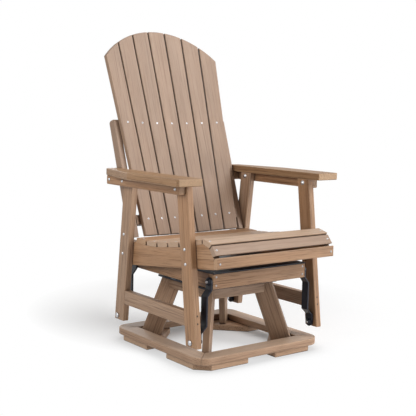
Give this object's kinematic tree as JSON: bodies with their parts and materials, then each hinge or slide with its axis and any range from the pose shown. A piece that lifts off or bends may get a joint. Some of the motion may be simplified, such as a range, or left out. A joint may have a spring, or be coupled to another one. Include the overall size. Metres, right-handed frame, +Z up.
{
  "type": "swivel glider chair",
  "caption": "High-backed outdoor armchair of slatted boards that glides on hanging links over a carriage, which swivels on a square frame with splayed legs.",
  "frame": {"origin": "on the floor, under the middle of the overall bounding box", "axes": "+X towards the sitter's left, -Y towards the front of the chair, +Z up"},
  "size_m": [0.724, 0.781, 1.1683],
  "materials": {
    "lumber_board": "brushed wood grain, weathered tan brown with darker streaks",
    "black_steel": "satin black powder coat"
  },
  "bodies": {
    "base": {"foot_front_left": "lumber_board", "foot_front_right": "lumber_board", "foot_rear_left": "lumber_board", "foot_rear_right": "lumber_board", "ring_front": "lumber_board", "ring_left": "lumber_board", "ring_rear": "lumber_board", "ring_right": "lumber_board", "base_leg_front_left": "lumber_board", "base_leg_front_right": "lumber_board", "base_leg_rear_left": "lumber_board", "base_leg_rear_right": "lumber_board", "top_box_front": "lumber_board", "top_box_left": "lumber_board", "top_box_rear": "lumber_board", "top_box_right": "lumber_board", "swivel_lower_plate": "black_steel"},
    "carriage": {"swivel_upper_plate": "black_steel", "carriage_cross_board": "lumber_board", "carriage_rail_front": "lumber_board", "carriage_rail_left": "lumber_board", "carriage_rail_rear": "lumber_board", "carriage_rail_right": "lumber_board", "carriage_deck": "black_steel"},
    "link_front_left": {"link_front_left": "black_steel"},
    "link_front_right": {"link_front_right": "black_steel"},
    "link_rear_left": {"link_rear_left": "black_steel"},
    "link_rear_right": {"link_rear_right": "black_steel"},
    "chair": {"leg_front_left": "lumber_board", "leg_front_right": "lumber_board", "leg_rear_left": "lumber_board", "leg_rear_right": "lumber_board", "stretcher_left": "lumber_board", "stretcher_right": "lumber_board", "seat_side_left": "lumber_board", "seat_side_right": "lumber_board", "seat_slat_1": "lumber_board", "seat_slat_2": "lumber_board", "seat_slat_3": "lumber_board", "seat_slat_4": "lumber_board", "seat_slat_5": "lumber_board", "seat_slat_6": "lumber_board", "seat_slat_7": "lumber_board", "seat_slat_8": "lumber_board", "seat_apron": "lumber_board", "upright_left": "lumber_board", "upright_right": "lumber_board", "back_rail_lower": "lumber_board", "back_rail_upper": "lumber_board", "back_slat_1": "lumber_board", "back_slat_2": "lumber_board", "back_slat_3": "lumber_board", "back_slat_4": "lumber_board", "back_slat_5": "lumber_board", "back_slat_6": "lumber_board", "back_slat_7": "lumber_board", "arm_left": "lumber_board", "arm_right": "lumber_board", "arm_support_left": "lumber_board", "arm_support_right": "lumber_board"}
  },
  "joints": [
    {"name": "base_swivel", "type": "hinge", "parent": "base", "child": "carriage", "pos_m": [0, -0.05459, 0.262], "axis": [0, 0, 1], "continuous": true},
    {"name": "glide_front_right", "type": "hinge", "parent": "carriage", "child": "link_front_right", "pos_m": [-0.213, -0.28659, 0.297], "axis": [1, 0, 0], "range_deg": [-15, 15]},
    {"name": "glide_front_left", "type": "hinge", "parent": "carriage", "child": "link_front_left", "pos_m": [0.213, -0.28659, 0.297], "axis": [1, 0, 0], "range_deg": [-15, 15]},
    {"name": "glide_rear_left", "type": "hinge", "parent": "carriage", "child": "link_rear_left", "pos_m": [0.213, 0.17741, 0.297], "axis": [1, 0, 0], "range_deg": [-15, 15]},
    {"name": "glide_rear_right", "type": "hinge", "parent": "carriage", "child": "link_rear_right", "pos_m": [-0.213, 0.17741, 0.297], "axis": [1, 0, 0], "range_deg": [-15, 15]},
    {"name": "chair_level", "type": "hinge", "parent": "link_front_right", "child": "chair", "pos_m": [-0.255, -0.28659, 0.098], "axis": [1, 0, 0], "range_deg": [-15, 15]}
  ],
  "couplings": [
    {"joint": "glide_front_left", "follows": "glide_front_right", "ratio": 1},
    {"joint": "glide_rear_left", "follows": "glide_front_right", "ratio": 1},
    {"joint": "glide_rear_right", "follows": "glide_front_right", "ratio": 1},
    {"joint": "chair_level", "follows": "glide_front_right", "ratio": -1}
  ]
}
